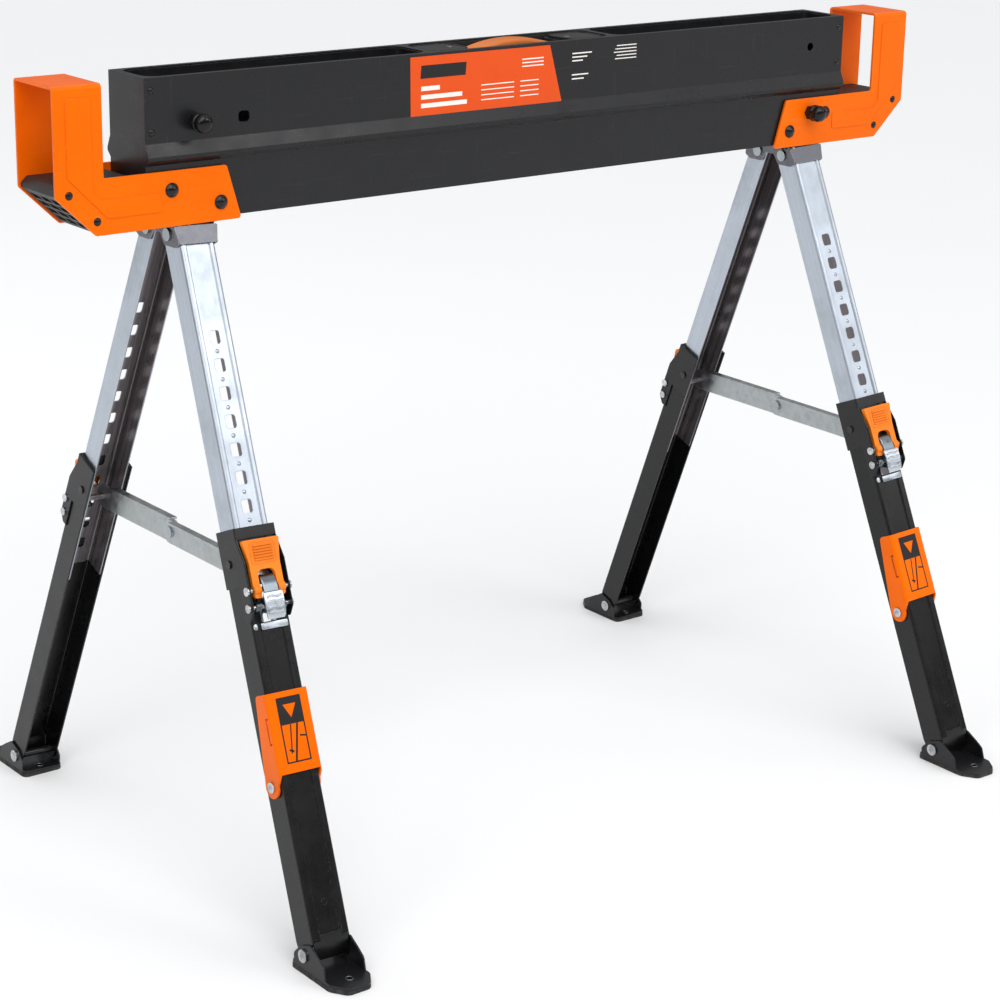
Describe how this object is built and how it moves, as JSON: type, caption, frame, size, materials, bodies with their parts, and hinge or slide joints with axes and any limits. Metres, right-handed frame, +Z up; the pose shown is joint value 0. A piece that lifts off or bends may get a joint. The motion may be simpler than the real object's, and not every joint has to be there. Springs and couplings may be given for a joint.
{
  "type": "folding sawhorse",
  "caption": "Folding steel sawhorse: stepped beam with L-shaped end brackets on two folding pairs of telescoping channel legs with swivel feet, braces and flip-down board rests.",
  "frame": {"origin": "on the floor under the middle of the beam, legs open and fully extended", "axes": "+X along the beam, +Y to the back, +Z up"},
  "size_m": [1.093, 0.6952, 0.809],
  "materials": {
    "black_paint": "satin black powder coat",
    "black_hardware": "semi-gloss black",
    "orange_paint": "satin orange powder coat",
    "moulded_black": "fine moulded texture",
    "orange_grip": "soft moulded orange",
    "zinc_steel": "zinc plated",
    "galvanized": "bright galvanized, drawn along the leg",
    "knob_black": "glossy moulded black",
    "orange_lever": "satin moulded orange",
    "rubber": "matt tread rubber"
  },
  "bodies": {
    "beam": {"beam_shell": "black_paint", "pan_left": "black_paint", "pan_right": "black_paint", "end_caps": "black_paint", "handle_tray": "moulded_black", "handle_grip": "orange_grip", "small_rivets": "black_hardware", "end_shoes": "moulded_black", "bracket_bolts": "black_hardware", "pivot_saddles": "zinc_steel", "fold_pins": "zinc_steel", "plunger_collars": "black_hardware", "bracket_left": "orange_paint", "bracket_right": "orange_paint"},
    "left_hub": {"hub_left": "zinc_steel", "hinge_pins_left": "zinc_steel"},
    "left_plunger": {"plunger_left": "knob_black"},
    "right_hub": {"hub_right": "zinc_steel", "hinge_pins_right": "zinc_steel"},
    "right_plunger": {"plunger_right": "knob_black"},
    "front_left_upper": {"upper_leg_front_left": "galvanized"},
    "front_left_lever": {"release_lever_front_left": "orange_lever"},
    "front_left_pawl": {"pawl_front_left": "zinc_steel"},
    "front_left_link": {"brace_link_front_left": "zinc_steel"},
    "front_left_lower": {"lower_leg_front_left": "black_paint", "latch_housing_front_left": "black_paint", "leg_pins_front_left": "zinc_steel"},
    "front_left_foot": {"foot_front_left": "black_paint", "sole_front_left": "rubber"},
    "front_left_flip": {"flip_bracket_front_left": "orange_paint"},
    "back_left_upper": {"upper_leg_back_left": "galvanized"},
    "back_left_lever": {"release_lever_back_left": "orange_lever"},
    "back_left_pawl": {"pawl_back_left": "zinc_steel"},
    "back_left_link": {"brace_link_back_left": "zinc_steel"},
    "back_left_lower": {"lower_leg_back_left": "black_paint", "latch_housing_back_left": "black_paint", "leg_pins_back_left": "zinc_steel"},
    "back_left_foot": {"foot_back_left": "black_paint", "sole_back_left": "rubber"},
    "front_right_upper": {"upper_leg_front_right": "galvanized"},
    "front_right_lever": {"release_lever_front_right": "orange_lever"},
    "front_right_pawl": {"pawl_front_right": "zinc_steel"},
    "front_right_link": {"brace_link_front_right": "zinc_steel"},
    "front_right_lower": {"lower_leg_front_right": "black_paint", "latch_housing_front_right": "black_paint", "leg_pins_front_right": "zinc_steel"},
    "front_right_foot": {"foot_front_right": "black_paint", "sole_front_right": "rubber"},
    "front_right_flip": {"flip_bracket_front_right": "orange_paint"},
    "back_right_upper": {"upper_leg_back_right": "galvanized"},
    "back_right_lever": {"release_lever_back_right": "orange_lever"},
    "back_right_pawl": {"pawl_back_right": "zinc_steel"},
    "back_right_link": {"brace_link_back_right": "zinc_steel"},
    "back_right_lower": {"lower_leg_back_right": "black_paint", "latch_housing_back_right": "black_paint", "leg_pins_back_right": "zinc_steel"},
    "back_right_foot": {"foot_back_right": "black_paint", "sole_back_right": "rubber"}
  },
  "joints": [
    {"name": "left_fold", "type": "hinge", "parent": "beam", "child": "left_hub", "pos_m": [-0.349, 0, 0.6895], "axis": [0, -1, 0], "range_deg": [0, 92]},
    {"name": "left_plunger_pull", "type": "slide", "parent": "beam", "child": "left_plunger", "axis": [0, 1, 0], "range_m": [-0.006, 0], "stiffness_N_per_m": 600, "springref_m": 0.004},
    {"name": "right_fold", "type": "hinge", "parent": "beam", "child": "right_hub", "pos_m": [0.349, 0, 0.6895], "axis": [0, 1, 0], "range_deg": [0, 70]},
    {"name": "right_plunger_pull", "type": "slide", "parent": "beam", "child": "right_plunger", "axis": [0, 1, 0], "range_m": [-0.006, 0], "stiffness_N_per_m": 600, "springref_m": 0.004},
    {"name": "front_left_swing", "type": "hinge", "parent": "left_hub", "child": "front_left_upper", "pos_m": [-0.399, -0.0196, 0.6545], "axis": [0.9992, 0, -0.04], "range_deg": [0, 20]},
    {"name": "front_left_link_turn", "type": "hinge", "parent": "front_left_upper", "child": "front_left_link", "pos_m": [-0.41109, -0.13863, 0.35223], "axis": [0.9992, 0, -0.04], "range_deg": [-0.05, 58.4]},
    {"name": "front_left_extend", "type": "slide", "parent": "front_left_upper", "child": "front_left_lower", "axis": [0.0368, 0.3875, 0.9211], "range_m": [0, 0.1897]},
    {"name": "front_left_foot_swivel", "type": "hinge", "parent": "front_left_lower", "child": "front_left_foot", "pos_m": [-0.42445, -0.28737, 0.018], "axis": [-0.9992, 0, 0.04], "range_deg": [-35, 35]},
    {"name": "front_left_lever_press", "type": "hinge", "parent": "front_left_lower", "child": "front_left_lever", "pos_m": [-0.41141, -0.17493, 0.34407], "axis": [-0.9992, 0, 0.04], "range_deg": [-18, 0], "stiffness_Nm_per_rad": 0.5, "springref_deg": 11.46},
    {"name": "front_left_pawl_press", "type": "hinge", "parent": "front_left_lower", "child": "front_left_pawl", "pos_m": [-0.41204, -0.1787, 0.32841], "axis": [-0.9992, 0, 0.04], "range_deg": [-14, 0], "stiffness_Nm_per_rad": 0.4, "springref_deg": 11.46},
    {"name": "front_left_flip_down", "type": "hinge", "parent": "front_left_lower", "child": "front_left_flip", "pos_m": [-0.41853, -0.22694, 0.16604], "axis": [-0.9992, 0, 0.04], "range_deg": [-62, 0]},
    {"name": "back_left_swing", "type": "hinge", "parent": "left_hub", "child": "back_left_upper", "pos_m": [-0.399, 0.0196, 0.6545], "axis": [0.9992, 0, -0.04], "range_deg": [-20, 0]},
    {"name": "back_left_link_turn", "type": "hinge", "parent": "back_left_upper", "child": "back_left_link", "pos_m": [-0.41109, 0.13863, 0.35223], "axis": [0.9992, 0, -0.04], "range_deg": [-58.4, 0.05]},
    {"name": "back_left_extend", "type": "slide", "parent": "back_left_upper", "child": "back_left_lower", "axis": [0.0368, -0.3875, 0.9211], "range_m": [0, 0.1897]},
    {"name": "back_left_foot_swivel", "type": "hinge", "parent": "back_left_lower", "child": "back_left_foot", "pos_m": [-0.42445, 0.28737, 0.018], "axis": [0.9992, 0, -0.04], "range_deg": [-35, 35]},
    {"name": "back_left_lever_press", "type": "hinge", "parent": "back_left_lower", "child": "back_left_lever", "pos_m": [-0.41141, 0.17493, 0.34407], "axis": [0.9992, 0, -0.04], "range_deg": [-18, 0], "stiffness_Nm_per_rad": 0.5, "springref_deg": 11.46},
    {"name": "back_left_pawl_press", "type": "hinge", "parent": "back_left_lower", "child": "back_left_pawl", "pos_m": [-0.41204, 0.1787, 0.32841], "axis": [0.9992, 0, -0.04], "range_deg": [-14, 0], "stiffness_Nm_per_rad": 0.4, "springref_deg": 11.46},
    {"name": "front_right_swing", "type": "hinge", "parent": "right_hub", "child": "front_right_upper", "pos_m": [0.399, -0.0196, 0.6545], "axis": [0.9992, 0, 0.04], "range_deg": [0, 20]},
    {"name": "front_right_link_turn", "type": "hinge", "parent": "front_right_upper", "child": "front_right_link", "pos_m": [0.41109, -0.13863, 0.35223], "axis": [0.9992, 0, 0.04], "range_deg": [-0.05, 58.4]},
    {"name": "front_right_extend", "type": "slide", "parent": "front_right_upper", "child": "front_right_lower", "axis": [-0.0368, 0.3875, 0.9211], "range_m": [0, 0.1897]},
    {"name": "front_right_foot_swivel", "type": "hinge", "parent": "front_right_lower", "child": "front_right_foot", "pos_m": [0.42445, -0.28737, 0.018], "axis": [-0.9992, 0, -0.04], "range_deg": [-35, 35]},
    {"name": "front_right_lever_press", "type": "hinge", "parent": "front_right_lower", "child": "front_right_lever", "pos_m": [0.41141, -0.17493, 0.34407], "axis": [-0.9992, 0, -0.04], "range_deg": [-18, 0], "stiffness_Nm_per_rad": 0.5, "springref_deg": 11.46},
    {"name": "front_right_pawl_press", "type": "hinge", "parent": "front_right_lower", "child": "front_right_pawl", "pos_m": [0.41204, -0.1787, 0.32841], "axis": [-0.9992, 0, -0.04], "range_deg": [-14, 0], "stiffness_Nm_per_rad": 0.4, "springref_deg": 11.46},
    {"name": "front_right_flip_down", "type": "hinge", "parent": "front_right_lower", "child": "front_right_flip", "pos_m": [0.41853, -0.22694, 0.16604], "axis": [-0.9992, 0, -0.04], "range_deg": [-62, 0]},
    {"name": "back_right_swing", "type": "hinge", "parent": "right_hub", "child": "back_right_upper", "pos_m": [0.399, 0.0196, 0.6545], "axis": [0.9992, 0, 0.04], "range_deg": [-20, 0]},
    {"name": "back_right_link_turn", "type": "hinge", "parent": "back_right_upper", "child": "back_right_link", "pos_m": [0.41109, 0.13863, 0.35223], "axis": [0.9992, 0, 0.04], "range_deg": [-58.4, 0.05]},
    {"name": "back_right_extend", "type": "slide", "parent": "back_right_upper", "child": "back_right_lower", "axis": [-0.0368, -0.3875, 0.9211], "range_m": [0, 0.1897]},
    {"name": "back_right_foot_swivel", "type": "hinge", "parent": "back_right_lower", "child": "back_right_foot", "pos_m": [0.42445, 0.28737, 0.018], "axis": [0.9992, 0, 0.04], "range_deg": [-35, 35]},
    {"name": "back_right_lever_press", "type": "hinge", "parent": "back_right_lower", "child": "back_right_lever", "pos_m": [0.41141, 0.17493, 0.34407], "axis": [0.9992, 0, 0.04], "range_deg": [-18, 0], "stiffness_Nm_per_rad": 0.5, "springref_deg": 11.46},
    {"name": "back_right_pawl_press", "type": "hinge", "parent": "back_right_lower", "child": "back_right_pawl", "pos_m": [0.41204, 0.1787, 0.32841], "axis": [0.9992, 0, 0.04], "range_deg": [-14, 0], "stiffness_Nm_per_rad": 0.4, "springref_deg": 11.46}
  ],
  "couplings": [
    {"joint": "front_left_link_turn", "follows": "front_left_swing", "ratio": 2.9177},
    {"joint": "back_left_swing", "follows": "front_left_swing", "ratio": -1},
    {"joint": "back_left_link_turn", "follows": "front_left_swing", "ratio": -2.9177},
    {"joint": "front_right_link_turn", "follows": "front_right_swing", "ratio": 2.9177},
    {"joint": "back_right_swing", "follows": "front_right_swing", "ratio": -1},
    {"joint": "back_right_link_turn", "follows": "front_right_swing", "ratio": -2.9177}
  ]
}
